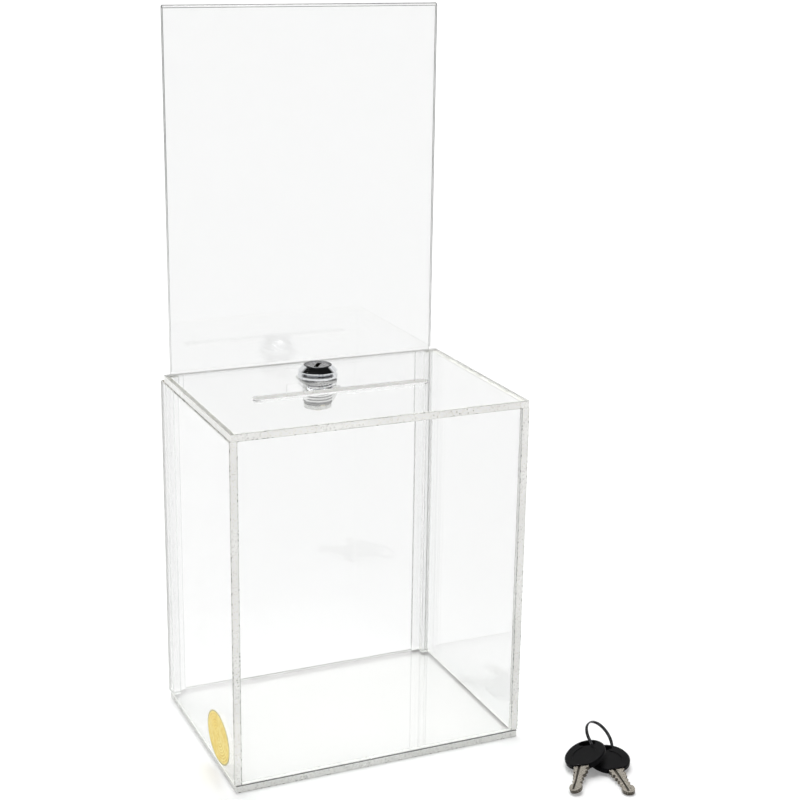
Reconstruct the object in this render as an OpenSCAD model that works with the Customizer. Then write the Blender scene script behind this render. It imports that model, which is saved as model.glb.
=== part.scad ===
// Clear acrylic ballot box with a sliding back panel, a cam lock and two keys.
// Millimetres. X runs left to right, Y runs front to back and Z runs up.
// The origin is on the underside, at the centre of the four walls' footprint.

/* [Box] */
// Width over the two side walls
box_w = 160; // [120:1:320]
// Depth of the side walls, front to back
box_d = 116; // [96:1:240]
// Height of the walls between the base and the lid
wall_h = 181; // [120:1:360]
// Thickness of the sheet that the base, walls and lid are cut from
sheet_t = 4; // [3:0.1:5]
// How far the base stops short of each side wall's outer face
base_inset = 0.8; // [0:0.1:1.5]
// How far the lid stops short of each side wall's outer face
lid_inset = 0.6; // [0:0.1:1.5]
// How far the base and the lid stand out in front of the front wall
front_lip = 0.6; // [0:0.1:2]

/* [Voting slot] */
// Length of the voting slot in the lid
slot_l = 97; // [60:1:100]
// Width of the voting slot
slot_w = 6; // [4.5:0.1:10]
// Distance from the slot's centre line to the lid's front edge
slot_from_front = 53.3; // [35:0.1:60]
// How far the slot's centre sits left of the lid's centre
slot_shift = 1.5; // [-3:0.1:3]

/* [Back panel and sign holder] */
// Thickness of the folded sheet
panel_t = 1.5; // [1:0.1:2]
// Space between the two leaves of the sign holder
pocket_gap = 0.6; // [0.4:0.1:1.2]
// Height of the fold above the top of the lid
header_h = 190.7; // [120:0.1:300]
// Gap between the lid and the lower edge of the front leaf
leaf_gap = 1.4; // [0.8:0.1:4]
// Clearance between the panel's edges and the side walls
panel_side_gap = 0.6; // [0.3:0.1:1]
// Clearance in front of the panel and behind it
panel_run_gap = 0.3; // [0.2:0.05:0.5]
// Clearance under the panel when it is down
panel_seat_gap = 0.2; // [0.1:0.05:0.4]
// Clearance between the lid's rear edge and the panel
lid_panel_gap = 1.1; // [0.6:0.1:1.5]

/* [Corner strips] */
// Width of the guide strips in front of the panel
guide_w = 4; // [3:0.1:6]
// Depth of the guide strips
guide_d = 4; // [3:0.1:6]
// Width of the thin strips behind the panel
keeper_w = 8; // [5:0.1:12]
// Depth of the thin strips behind the panel
keeper_d = 1.7; // [1.2:0.1:3]

/* [Cam lock] */
// How far the lock's axis sits left of the lid's centre
lock_shift = 4.5; // [-20:0.1:20]
// Distance from the lock's axis to the lid's rear edge
lock_from_rear = 31.4; // [28:0.1:34]
// Widest diameter of the head
head_d = 21.1; // [20:0.1:24]
// Height of the upright rim at the foot of the head
rim_h = 1.7; // [1:0.1:2.5]
// Rounding of the rim's edges
rim_round = 0.3; // [0.1:0.05:0.4]
// Height of the whole head above the lid
head_h = 6.7; // [5.5:0.1:8]
// Diameter of the ring at the top of the head
head_top_d = 14.6; // [14:0.1:17]
// Height of the steep shoulder under the head's top ring
shoulder_h = 0.9; // [0.6:0.1:1.2]
// Softening of the shoulder's edges
shoulder_round = 0.2; // [0.1:0.05:0.3]
// Diameter of the threaded body
body_d = 16; // [15.5:0.1:17]
// Width of the body across its two flats
body_flats = 14.2; // [13.5:0.1:15]
// Length of the body below the top of the lid
body_l = 16.5; // [11:0.1:20]
// Clearance between the body and its hole in the lid
body_gap = 0.15; // [0.1:0.05:0.3]
// Depth of the grooves that part the threaded body into bands
band_groove = 0.35; // [0.2:0.05:0.5]
// Distance from one groove to the next
band_pitch = 1.5; // [1.2:0.1:2]
// Distance from the retaining clip to the first groove
band_start = 1.2; // [1:0.1:2]
// Length of the plain band at the foot of the body
band_end = 0.6; // [0.4:0.1:1.5]
// Diameter of the turning plug
plug_d = 11; // [10.5:0.1:11.5]
// Diameter of the plug's face
face_d = 12.6; // [12:0.1:13]
// Thickness of the plug's face
face_t = 1.2; // [0.8:0.1:2]
// How far the plug's face lies below the ring round it
face_drop = 0.4; // [0.2:0.05:0.8]
// Radial clearance of the plug in the housing
plug_gap = 0.05; // [0.03:0.01:0.1]
// Clearance along the axis between turning and fixed pieces
end_gap = 0.05; // [0.03:0.01:0.1]
// Width of the keyway
keyway_w = 8.6; // [8.4:0.1:9]
// Height of the keyway across its narrow side
keyway_t = 2.3; // [2.1:0.05:2.4]

/* [Wafers and springs] */
// Number of wafers
wafer_count = 5; // [3:1:6]
// Distance between wafers along the plug
wafer_pitch = 2.4; // [2.2:0.1:2.6]
// Thickness of a wafer
wafer_t = 1; // [0.8:0.05:1.1]
// Width of a wafer
wafer_w = 5.4; // [5:0.1:5.6]
// Clearance round a wafer in its slot
wafer_gap = 0.1; // [0.05:0.01:0.15]
// Depth of the highest wafer below the plug's face
wafer_depth = 3; // [2.5:0.1:4]
// Mean radius of a wafer spring
spring_r = 0.6; // [0.5:0.05:0.7]
// Thickness of the spring wire
spring_wire = 0.24; // [0.2:0.01:0.28]
// Length of a wafer spring
spring_l = 3.6; // [3:0.1:4]
// Room along the plug's slot for the wafer's side lug
wafer_lug = 0.8; // [0.6:0.05:1]

/* [Cam] */
// Distance from the lock's axis to the tip of the cam
cam_reach = 35; // [34.2:0.1:36]
// Width of the cam at its tip
cam_tip_w = 9; // [7:0.1:11]
// Radius of the cam's round hub
cam_hub_r = 7.4; // [6.8:0.1:8]
// Thickness of the cam
cam_t = 2; // [1.5:0.1:2.5]
// Width of the cam where it leaves its hub
cam_root_w = 12.4; // [10:0.1:13]
// Chamfer on the corners of the cam's tip
cam_chamfer = 0.8; // [0.4:0.1:1.5]
// Angle of the resting cam, clockwise from straight back
cam_rest = 35; // [33:1:60]
// Turn of the cam between locked and fully open
cam_travel = 90; // [80:5:90]
// Clearance of the cam in the panel's slot, above and below
cam_slot_gap = 1.5; // [1.2:0.1:2]
// Clearance of the cam in the panel's slot, at each side
cam_side_gap = 0.8; // [0.5:0.1:1.5]
// Thickness of the stop washer
stop_t = 0.8; // [0.6:0.05:1]
// Width of the square tail that turns the cam
tail_w = 6; // [5.6:0.1:6.4]
// Clearance between the tail and the pieces that it turns
tail_gap = 0.05; // [0.03:0.01:0.1]
// Diameter of the cam screw
screw_d = 4; // [3.5:0.1:4.2]
// Diameter of the cam screw's head
screw_head_d = 7.4; // [7:0.1:8]
// Height of the cam screw's head
screw_head_h = 1.1; // [0.9:0.1:1.6]
// Thickness of the spring washer under the screw's head
washer_t = 0.5; // [0.4:0.05:0.8]
// Depth of the screw's hole above the foot of the body
screw_bite = 2; // [1.5:0.1:2.2]
// Thickness of the plug left between the screw's hole and the keyway
plug_floor = 1; // [0.6:0.1:1.4]

/* [Retaining clip] */
// Thickness of the clip that grips the body under the lid
clip_t = 1.2; // [1:0.1:1.5]
// Width over the clip's two legs
clip_w = 22; // [20:0.5:24]
// Length of the clip, front to back
clip_l = 20; // [18:0.5:22]
// Depth of the body's notch for the clip, on each flat
clip_notch = 0.7; // [0.5:0.1:1]
// Clearance between the clip and the body's notches
clip_gap = 0.1; // [0.05:0.05:0.2]

/* [Seal] */
// Diameter of the foil seal on the left wall
seal_d = 29.2; // [20:0.1:40]
// Thickness of the foil
seal_t = 0.15; // [0.1:0.05:0.3]
// Distance from the seal's centre to the walls' front edge
seal_from_front = 25; // [20:0.1:60]
// Height of the seal's centre
seal_z = 18.9; // [18.5:0.1:60]

/* [Keys] */
// Length of the blade outside the head
blade_l = 23.5; // [20:0.5:30]
// Width of the blade at its root
blade_w = 8.2; // [7:0.1:8.4]
// Thickness of the blade
blade_t = 1.9; // [1.6:0.1:2]
// Depth of the groove along each face of the blade
blade_groove = 0.6; // [0.2:0.05:0.6]
// Width of the groove
groove_w = 1.4; // [1:0.1:1.6]
// Distance from the blade's centre line to the middle of the groove
groove_side = 0.9; // [0.6:0.1:1.2]
// Width of the blade between its cuts
blade_mid_w = 7.5; // [6.5:0.1:7.6]
// Length of the wide root of the blade
root_l = 3; // [2:0.1:4]
// Number of cuts along each edge of the blade
blade_cuts = 5; // [3:1:6]
// Deepest cut in the blade's edges
cut_depth = 1.3; // [0.6:0.1:1.6]
// Width of the floor of each cut
cut_floor = 1; // [0.6:0.1:1.4]
// Length of the tang inside the head
tang_l = 5; // [3:0.5:7]
// Clearance of the tang in the head
tang_gap = 0.04; // [0.02:0.01:0.1]
// Half the head's length, along the blade
grip_a = 12; // [10:0.1:14]
// Half the head's width
grip_b = 10.9; // [9:0.1:13]
// How much of the oval is cut off flat where the blade comes out
mouth_cut = 1.4; // [1:0.1:2]
// Thickness of the head
grip_t = 2.9; // [2.6:0.1:3.4]
// Bevel round both faces of the head
grip_bevel = 0.6; // [0.3:0.1:0.9]
// Depth of the shallow oval in each face of the head
grip_recess = 0.25; // [0.1:0.05:0.4]
// Width of the border round the shallow oval
grip_border = 4.6; // [4:0.1:6]
// How far the shallow oval sits towards the blade
recess_shift = 1.6; // [1:0.1:2]
// Length of the ring hole across the head
hole_l = 9.5; // [6:0.1:11]
// Width of the ring hole
hole_w = 5; // [4:0.1:6]
// Width of the rim between the ring hole and the head's end
hole_rim = 1.7; // [1.4:0.1:3]
// Radius of the split ring's middle line
ring_r = 9.5; // [8.5:0.1:12]
// Thickness of the ring's wire
ring_wire = 0.9; // [0.8:0.05:1.2]
// Gap between the ring's two turns
ring_gap = 0.06; // [0.04:0.01:0.2]

/* [Keys on the table] */
// Place of the upper key's tip
key_1_tip = [75.9, -127, 1.67]; // [-150:0.01:150]
// Roll, pitch and heading of the upper key
key_1_turn = [-17.4, -7.9, 50.7]; // [-90:0.1:90]
// Place of the lower key's tip
key_2_tip = [103.1, -138.5, 1.07]; // [-150:0.01:150]
// Roll, pitch and heading of the lower key
key_2_turn = [-2.1, -4.2, 79.9]; // [-90:0.1:90]
// Place of the split ring's centre
ring_at = [112, -90.1, 7.9]; // [-150:0.1:150]
// Lean and heading of the split ring's axis
ring_turn = [0, 45.1, -51.8]; // [-90:0.1:90]

/* [Hidden] */

$fn = 64;
// A cut runs this far past the face that it opens
cut = 1;
clear = [0.80, 0.88, 0.86, 0.35];

half_w = box_w / 2;
inner_w = box_w - 2 * sheet_t;
front_y = -box_d / 2;
rear_y = box_d / 2;
wall_top = sheet_t + wall_h;
lid_top = wall_top + sheet_t;

// The channel at the rear holds the keeper strips, the panel and the guide strips
panel_rear = rear_y - keeper_d - panel_run_gap;
panel_front = panel_rear - panel_t;
guide_rear = panel_front - panel_run_gap;
panel_w = inner_w - 2 * panel_side_gap;
panel_foot = sheet_t + panel_seat_gap;
lid_rear = panel_front - lid_panel_gap;
lid_front = front_y - front_lip;
fold_inner = pocket_gap / 2;
fold_outer = fold_inner + panel_t;
fold_y = panel_rear - fold_outer;
fold_z = lid_top + header_h - fold_outer;
slot_y = lid_front + slot_from_front;

lock_x = -lock_shift;
lock_y = lid_rear - lock_from_rear;
body_foot = lid_top - body_l;
plug_top = lid_top + head_h - face_drop;
stop_top = body_foot - end_gap;
cam_top = stop_top - stop_t;
cam_foot = cam_top - cam_t;
washer_foot = cam_foot - washer_t;
tail_foot = cam_foot + 2 * end_gap;
plug_r = plug_d / 2;
bore_r = plug_r + plug_gap;
spring_y = wafer_w / 2 + spring_r + spring_wire / 2 + 2 * wafer_gap;

// The lug under the body stops the washer at both ends of the cam's travel
lug_inset = 0.3;
lug_inner = bore_r + 0.5;
lug_outer = body_d / 2 - lug_inset;
lug_half = 9;
lug_gap = 0.2;
stop_slack = 1;

// The cam's tip sweeps this far sideways while it is inside the panel
tip_corner = norm([cam_reach, cam_tip_w / 2]);
panel_reach = panel_front - lock_y;
cam_sweep = sqrt(tip_corner * tip_corner - panel_reach * panel_reach);

grip_x = blade_l + grip_a - mouth_cut;
hole_x = grip_x + grip_a - hole_rim - hole_w / 2;
ring_pitch = ring_wire + ring_gap;

module lock_place() {
    translate([lock_x, lock_y, 0]) children();
}

// The plug and all that turns with it, at rest
module plug_place() {
    lock_place() rotate([0, 0, 90 - cam_rest]) children();
}

// A circle with two flats, facing left and right
module double_flat(d, flats) {
    intersection() {
        circle(d = d);
        square([flats, d + cut], center = true);
    }
}

module base_panel() {
    color(clear)
        translate([-half_w + base_inset, lid_front, 0])
            cube([box_w - 2 * base_inset, rear_y - lid_front, sheet_t]);
}

module side_wall(x) {
    color(clear)
        translate([x, front_y, sheet_t]) cube([sheet_t, box_d, wall_h]);
}

module left_wall() {
    side_wall(-half_w);
}

module right_wall() {
    side_wall(half_w - sheet_t);
}

module front_wall() {
    color(clear)
        translate([-inner_w / 2, front_y, sheet_t]) cube([inner_w, sheet_t, wall_h]);
}

module voting_slot() {
    end_x = (slot_l - slot_w) / 2;
    translate([-slot_shift, slot_y, wall_top - cut])
        linear_extrude(sheet_t + 2 * cut)
            union() {
                square([2 * end_x, slot_w], center = true);
                for (side = [-1, 1]) translate([side * end_x, 0]) circle(d = slot_w);
            }
}

module lid_panel() {
    color(clear)
        difference() {
            translate([-half_w + lid_inset, lid_front, wall_top])
                cube([box_w - 2 * lid_inset, lid_rear - lid_front, sheet_t]);
            voting_slot();
            lock_place()
                translate([0, 0, wall_top - cut])
                    linear_extrude(sheet_t + 2 * cut)
                        double_flat(body_d + 2 * body_gap, body_flats + 2 * body_gap);
        }
}

// Side is -1 for the left corner and 1 for the right one
module corner_strip(side, w, d, y) {
    color(clear)
        translate([side * (inner_w / 2 - w / 2), y, sheet_t + wall_h / 2])
            cube([w, d, wall_h], center = true);
}

module left_guide_strip() {
    corner_strip(-1, guide_w, guide_d, guide_rear - guide_d / 2);
}

module right_guide_strip() {
    corner_strip(1, guide_w, guide_d, guide_rear - guide_d / 2);
}

module left_rear_strip() {
    corner_strip(-1, keeper_w, keeper_d, rear_y - keeper_d / 2);
}

module right_rear_strip() {
    corner_strip(1, keeper_w, keeper_d, rear_y - keeper_d / 2);
}

// Side view of the folded sheet: the long rear leaf, the fold and the front leaf
module folded_sheet() {
    leaf_foot = lid_top + leaf_gap;
    translate([panel_front, panel_foot]) square([panel_t, fold_z - panel_foot]);
    translate([fold_y - fold_outer, leaf_foot]) square([panel_t, fold_z - leaf_foot]);
    difference() {
        translate([fold_y, fold_z]) circle(r = fold_outer);
        translate([fold_y, fold_z]) circle(r = fold_inner);
        translate([fold_y - 2 * fold_outer, fold_z - 2 * fold_outer])
            square([4 * fold_outer, 2 * fold_outer]);
    }
}

module back_panel() {
    slot_left = lock_x - cam_tip_w / 2 - cam_side_gap;
    slot_right = lock_x + cam_sweep + cam_side_gap;
    color(clear)
        difference() {
            rotate([90, 0, 90])
                translate([0, 0, -panel_w / 2]) linear_extrude(panel_w) folded_sheet();
            translate([slot_left, panel_front - cut, cam_foot - cam_slot_gap])
                cube([slot_right - slot_left, panel_t + 2 * cut, cam_t + 2 * cam_slot_gap]);
        }
}

module gold_seal() {
    color("gold")
        translate([-half_w - seal_t, front_y + seal_from_front, seal_z])
            rotate([0, 90, 0]) cylinder(d = seal_d, h = seal_t);
}

// Outline of the head from the lid up to the ring round the plug's face
module head_profile() {
    edge = head_d / 2;
    top = head_top_d / 2;
    polygon([
        [0, 0], [edge - rim_round, 0], [edge, rim_round], [edge, rim_h - rim_round],
        [edge - rim_round, rim_h], [edge - 3 * rim_round, rim_h + shoulder_round],
        [top + shoulder_h - shoulder_round, head_h - shoulder_h],
        [top + shoulder_round, head_h - shoulder_round],
        [top - shoulder_round / 2, head_h], [0, head_h]
    ]);
}

// Sector of a flat ring, centred on the given angle
module ring_sector(inner, outer, middle, half_angle) {
    steps = 12;
    function spot(r, k) = r * [cos(middle + half_angle * k), sin(middle + half_angle * k)];
    polygon([
        for (i = [0 : steps]) spot(outer, 2 * i / steps - 1),
        for (i = [steps : -1 : 0]) spot(inner, 2 * i / steps - 1)
    ]);
}

module lock_housing() {
    first_band = wall_top - clip_t - band_start;
    band_count = floor((first_band - body_foot - band_end) / band_pitch);
    color("silver")
        lock_place()
            difference() {
                union() {
                    translate([0, 0, lid_top]) rotate_extrude() head_profile();
                    translate([0, 0, body_foot])
                        linear_extrude(body_l) double_flat(body_d, body_flats);
                    translate([0, 0, body_foot - stop_t])
                        linear_extrude(stop_t + cut)
                            ring_sector(lug_inner, lug_outer, -90, lug_half);
                }
                translate([0, 0, body_foot - 2 * cut])
                    cylinder(r = bore_r, h = body_l + head_h + 3 * cut);
                translate([0, 0, plug_top - face_t - end_gap])
                    cylinder(d = face_d + 2 * plug_gap, h = face_t + face_drop + cut);
                for (side = [-1, 1])
                    translate([
                        side * (body_flats / 2 - clip_notch + body_d / 2), 0,
                        wall_top - clip_t / 2 - clip_gap / 2
                    ])
                        cube([body_d, body_d, clip_t + clip_gap], center = true);
                for (i = [0 : band_count])
                    translate([0, 0, first_band - i * band_pitch])
                        rotate_extrude()
                            polygon([
                                [body_d / 2 - band_groove, 0],
                                [body_d / 2 + cut, band_groove + cut],
                                [body_d / 2 + cut, -band_groove - cut]
                            ]);
            }
}

module retaining_clip() {
    throat = body_flats - 2 * clip_notch + 2 * clip_gap;
    color("silver")
        lock_place()
            translate([0, 0, wall_top - clip_t])
                linear_extrude(clip_t)
                    difference() {
                        union() {
                            translate([-clip_w / 2, -clip_l / 2 + clip_w / 4])
                                square([clip_w, clip_l - clip_w / 4]);
                            for (side = [-1, 1])
                                translate([side * clip_w / 4, -clip_l / 2 + clip_w / 4])
                                    circle(d = clip_w / 2);
                            translate([-clip_w / 4, -clip_l / 2]) square([clip_w / 2, clip_l]);
                        }
                        double_flat(body_d + 2 * clip_gap, throat);
                        translate([-throat / 2, 0]) square([throat, clip_l]);
                    }
}

module lock_plug() {
    color("gainsboro")
        plug_place()
            difference() {
                union() {
                    translate([0, 0, body_foot]) cylinder(d = plug_d, h = plug_top - body_foot);
                    translate([0, 0, plug_top - face_t]) cylinder(d = face_d, h = face_t);
                    translate([-tail_w / 2, -tail_w / 2, tail_foot])
                        cube([tail_w, tail_w, body_foot - tail_foot + cut]);
                }
                translate([-keyway_w / 2, -keyway_t / 2, body_foot + screw_bite + plug_floor])
                    cube([keyway_w, keyway_t, plug_top]);
                for (i = [0 : wafer_count - 1])
                    translate([0, 0, wafer_z(i)]) wafer_room();
                translate([0, 0, tail_foot - cut])
                    cylinder(d = screw_d, h = body_foot + screw_bite - tail_foot + cut);
            }
}

// Room in the plug for one wafer, its side lug and the spring that pushes the lug
module wafer_room() {
    tall = wafer_t + 2 * wafer_gap;
    reach = spring_l / 2 + wafer_gap;
    cube([plug_d + cut, wafer_w + 2 * wafer_gap, tall], center = true);
    translate([-reach, 0, -tall / 2])
        cube([2 * reach + wafer_lug, spring_y + spring_r, tall]);
    translate([-reach, spring_y, 0])
        rotate([0, 90, 0])
            cylinder(r = spring_r + spring_wire / 2 + wafer_gap, h = 2 * reach);
}

// Height of the middle of wafer number i, counted from the top
function wafer_z(i) = plug_top - wafer_depth - i * wafer_pitch;

module lock_wafers() {
    color("goldenrod")
        plug_place()
            for (i = [0 : wafer_count - 1])
                translate([0, 0, wafer_z(i) - wafer_t / 2])
                    linear_extrude(wafer_t)
                        difference() {
                            union() {
                                intersection() {
                                    circle(r = plug_r - wafer_gap);
                                    square([plug_d, wafer_w], center = true);
                                }
                                translate([spring_l / 2 + wafer_gap, 0])
                                    square([wafer_lug - wafer_gap, spring_y + spring_r - wafer_gap]);
                            }
                            square([keyway_w - 0.4, keyway_t], center = true);
                        }
}

// Wire wound into a helix about Z, from height 0 up
module wire_helix(radius, wire, pitch, turns, steps, sides) {
    total = turns * steps;
    points = [
        for (i = [0 : total], k = [0 : sides - 1])
            let (
                turn = 360 * i / steps,
                side = 360 * k / sides,
                r = radius + wire / 2 * cos(side)
            )
                [r * cos(turn), r * sin(turn), pitch * i / steps + wire / 2 * sin(side)]
    ];
    skin = [
        for (i = [0 : total - 1], k = [0 : sides - 1])
            let (next = (k + 1) % sides, low = i * sides, high = low + sides)
                each [
                    [low + k, low + next, high + next],
                    [low + k, high + next, high + k]
                ]
    ];
    first = [for (k = [sides - 1 : -1 : 0]) k];
    last = [for (k = [0 : sides - 1]) total * sides + k];
    polyhedron(points, concat([first, last], skin));
}

module wafer_springs() {
    turns = 5;
    color("silver")
        plug_place()
            for (i = [0 : wafer_count - 1])
                translate([(spring_wire - spring_l) / 2, spring_y, wafer_z(i)])
                    rotate([0, 90, 0])
                        wire_helix(
                            spring_r, spring_wire, (spring_l - spring_wire) / turns, turns, 10, 5
                        );
}

// The square hole by which the tail turns a piece
module tail_hole(depth) {
    cube([tail_w + 2 * tail_gap, tail_w + 2 * tail_gap, depth], center = true);
}

module stop_washer() {
    color("goldenrod")
        plug_place()
            translate([0, 0, cam_top])
                difference() {
                    cylinder(d = body_flats, h = stop_t);
                    tail_hole(4 * stop_t);
                    translate([0, 0, -cut])
                        linear_extrude(stop_t + 2 * cut)
                            ring_sector(
                                lug_inner - lug_gap, body_d, cam_travel / 2 - 180,
                                cam_travel / 2 + lug_half + stop_slack
                            );
                }
}

module lock_cam() {
    root = cam_root_w / 2;
    tip = cam_tip_w / 2;
    color("silver")
        plug_place()
            translate([0, 0, cam_foot])
                difference() {
                    union() {
                        cylinder(r = cam_hub_r, h = cam_t);
                        linear_extrude(cam_t)
                            polygon([
                                [0, -root], [cam_reach - cam_chamfer, -tip],
                                [cam_reach, cam_chamfer - tip], [cam_reach, tip - cam_chamfer],
                                [cam_reach - cam_chamfer, tip], [0, root]
                            ]);
                    }
                    tail_hole(4 * cam_t);
                }
}

module cam_washer() {
    split = 0.6;
    color("silver")
        plug_place()
            translate([0, 0, washer_foot])
                difference() {
                    cylinder(d = screw_head_d - 0.4, h = washer_t);
                    translate([0, 0, -cut])
                        cylinder(d = screw_d + 2 * tail_gap, h = washer_t + 2 * cut);
                    translate([0, -split / 2, -cut])
                        cube([screw_head_d, split, washer_t + 2 * cut]);
                }
}

module cam_screw() {
    cross = 0.9;
    color("goldenrod")
        plug_place()
            difference() {
                union() {
                    translate([0, 0, washer_foot - cut / 2])
                        cylinder(
                            d = screw_d - 2 * tail_gap,
                            h = body_foot + screw_bite - tail_gap - washer_foot + cut / 2
                        );
                    translate([0, 0, washer_foot])
                        rotate([180, 0, 0])
                            rotate_extrude()
                                polygon([
                                    [0, 0], [screw_head_d / 2, 0],
                                    [screw_head_d / 2, 0.4 * screw_head_h],
                                    [0.4 * screw_head_d, screw_head_h], [0, screw_head_h]
                                ]);
                }
                for (turn = [0, 90])
                    translate([0, 0, washer_foot - screw_head_h])
                        rotate([0, 0, turn]) cube([3.6 * cross, cross, cross], center = true);
            }
}

module key_ring() {
    color("dimgray")
        translate(ring_at)
            rotate(ring_turn)
                translate([0, 0, -ring_pitch])
                    wire_helix(ring_r, ring_wire, ring_pitch, 2, 48, 8);
}

// How deep cut number i goes on one edge of the blade
function cut_at(i, side) = cut_depth * (0.45 + 0.55 * abs(sin(70 * i + 50 * side + 20)));

// A key lies along X, from its tip at 0 to its head, with its middle plane at Z = 0
module blade_outline() {
    tip_r = blade_mid_w / 2;
    root_x = blade_l - root_l;
    first_cut = blade_mid_w;
    pitch = (root_x - first_cut) / (blade_cuts - 1);
    half_floor = cut_floor / 2;
    difference() {
        union() {
            translate([tip_r, 0]) circle(r = tip_r);
            translate([tip_r, -tip_r]) square([root_x - tip_r, 2 * tip_r]);
            translate([root_x, -blade_w / 2]) square([root_l + tang_l, blade_w]);
        }
        for (i = [0 : blade_cuts - 1], side = [-1, 1])
            let (deep = cut_at(i, side))
                translate([first_cut + i * pitch, side * tip_r])
                    polygon([
                        [-half_floor - deep, half_floor * side], [-half_floor, -deep * side],
                        [half_floor, -deep * side], [half_floor + deep, half_floor * side]
                    ]);
    }
}

module key_blade() {
    color("tan")
        difference() {
            translate([0, 0, -blade_t / 2]) linear_extrude(blade_t) blade_outline();
            for (side = [-1, 1])
                translate([
                    groove_w, side * groove_side - groove_w / 2, side * blade_t / 2 - blade_groove
                ])
                    cube([blade_l - groove_w, groove_w, 2 * blade_groove]);
        }
}

// Oval outline of the head, grown or shrunk all round
module grip_oval(grow) {
    polygon([for (a = [0 : 7.5 : 352.5]) [(grip_a + grow) * cos(a), (grip_b + grow) * sin(a)]]);
}

module key_head() {
    color([0.09, 0.09, 0.1])
        difference() {
            translate([grip_x, 0, 0])
                hull() {
                    translate([0, 0, -grip_t / 2]) linear_extrude(grip_t) grip_oval(-grip_bevel);
                    translate([0, 0, grip_bevel - grip_t / 2])
                        linear_extrude(grip_t - 2 * grip_bevel) grip_oval(0);
                }
            translate([-cut, -grip_b, -grip_t]) cube([blade_l + cut, 2 * grip_b, 2 * grip_t]);
            translate([blade_l - cut, -blade_w / 2 - tang_gap, -blade_t / 2 - tang_gap])
                cube([
                    cut + tang_l + tang_gap, blade_w + 2 * tang_gap, blade_t + 2 * tang_gap
                ]);
            for (side = [-1, 1])
                translate([grip_x - recess_shift, 0, side * grip_t / 2 - grip_recess])
                    linear_extrude(2 * grip_recess)
                        grip_oval(-grip_border);
            translate([hole_x, 0, -grip_t])
                linear_extrude(2 * grip_t)
                    union() {
                        square([hole_w, hole_l - hole_w], center = true);
                        for (side = [-1, 1])
                            translate([0, side * (hole_l - hole_w) / 2]) circle(d = hole_w);
                    }
        }
}

module key_1_head() {
    translate(key_1_tip) rotate(key_1_turn) key_head();
}

module key_1_blade() {
    translate(key_1_tip) rotate(key_1_turn) key_blade();
}

module key_2_head() {
    translate(key_2_tip) rotate(key_2_turn) key_head();
}

module key_2_blade() {
    translate(key_2_tip) rotate(key_2_turn) key_blade();
}

base_panel();
left_wall();
right_wall();
front_wall();
lid_panel();
left_guide_strip();
right_guide_strip();
left_rear_strip();
right_rear_strip();
back_panel();
gold_seal();
lock_housing();
retaining_clip();
lock_plug();
lock_wafers();
wafer_springs();
stop_washer();
lock_cam();
cam_washer();
cam_screw();
key_ring();
key_1_head();
key_1_blade();
key_2_head();
key_2_blade();
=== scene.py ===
"""Looks of the clear ballot box: acrylic sheets, chrome cam lock, foil seal and keys.

Metres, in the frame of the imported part: +X right, +Y back, +Z up.
"""
import math

import bmesh
import bpy
from mathutils import Matrix, Vector


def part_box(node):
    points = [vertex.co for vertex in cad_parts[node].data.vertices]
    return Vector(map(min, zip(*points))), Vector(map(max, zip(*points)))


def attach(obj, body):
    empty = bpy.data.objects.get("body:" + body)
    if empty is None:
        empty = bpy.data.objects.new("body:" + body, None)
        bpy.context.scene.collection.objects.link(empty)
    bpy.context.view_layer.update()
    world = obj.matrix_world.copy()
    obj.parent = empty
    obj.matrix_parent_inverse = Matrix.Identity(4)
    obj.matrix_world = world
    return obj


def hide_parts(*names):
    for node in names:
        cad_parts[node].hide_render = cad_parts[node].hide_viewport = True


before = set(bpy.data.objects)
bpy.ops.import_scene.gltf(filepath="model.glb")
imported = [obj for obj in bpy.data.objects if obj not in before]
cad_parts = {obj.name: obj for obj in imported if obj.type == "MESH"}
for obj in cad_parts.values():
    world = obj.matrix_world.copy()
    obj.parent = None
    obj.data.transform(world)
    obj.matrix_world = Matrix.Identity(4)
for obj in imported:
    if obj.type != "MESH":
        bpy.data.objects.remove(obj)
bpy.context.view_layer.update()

MM = 0.001

# Camera, from the photograph's perspective
CAMERA_AT = (-0.30875, -0.76564, 0.42543)
CAMERA_FORWARD = (0.39158, 0.87553, -0.28303)
CAMERA_RIGHT = (0.91449, -0.40434, 0.01445)
CAMERA_LENS = 74.33
SENSOR_WIDTH = 36.0

# Axes: across the box, front to back, and up
SIDEWAYS, BACKWARD, UPRIGHT = range(3)

# How near two places count as one
MERGE_WITHIN = 1e-6
SAME_PLACE = 1e-5
CAD_SNAP = 0.1 * MM

# How much of a face's normal lies along an axis
STRAIGHT = 0.9
TO_FRONT = -0.1
FOLD_LINE_FACING = 0.8
SLOPING_LEAST = 0.3
SLOPING_MOST = 0.95

# Angles in degrees: faces that are one plane, and where small rounding starts
FLAT_ANGLE = 0.5
BEVEL_ANGLE = 40

# Acrylic sheets: forms
EDGE_BEVEL = 0.15 * MM
WELD_GAP = 0.03 * MM
ARRIS_W = 0.4 * MM
FOLD_LINE_DEPTH = 3.2 * MM
FOLD_ABOVE_LID = 10 * MM
HOLE_FROM_EDGE = 1 * MM

# The material slots of a sheet and of the lock's housing
# A sheet's last slot holds painted shade on its darkest corners
FACE, CUT, CORNER, SEAM, SLOT, SHADED_CORNER = range(6)
# The housing's second slot is painted shade: near-black steel
CHROMED, SHADE_PAINTED, BARREL, FOOT = range(4)

# A mix node's colour sockets
MIX_A, MIX_B, MIX_RESULT = 6, 7, 2

# In the values below, a scale is a texture's, a band is the stretch of it that is read,
# rough is (least, most), and a relief is (strength, depth). Most of a noise lies in the
# middle band.
MIDDLE = (0.3, 0.7)

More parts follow.
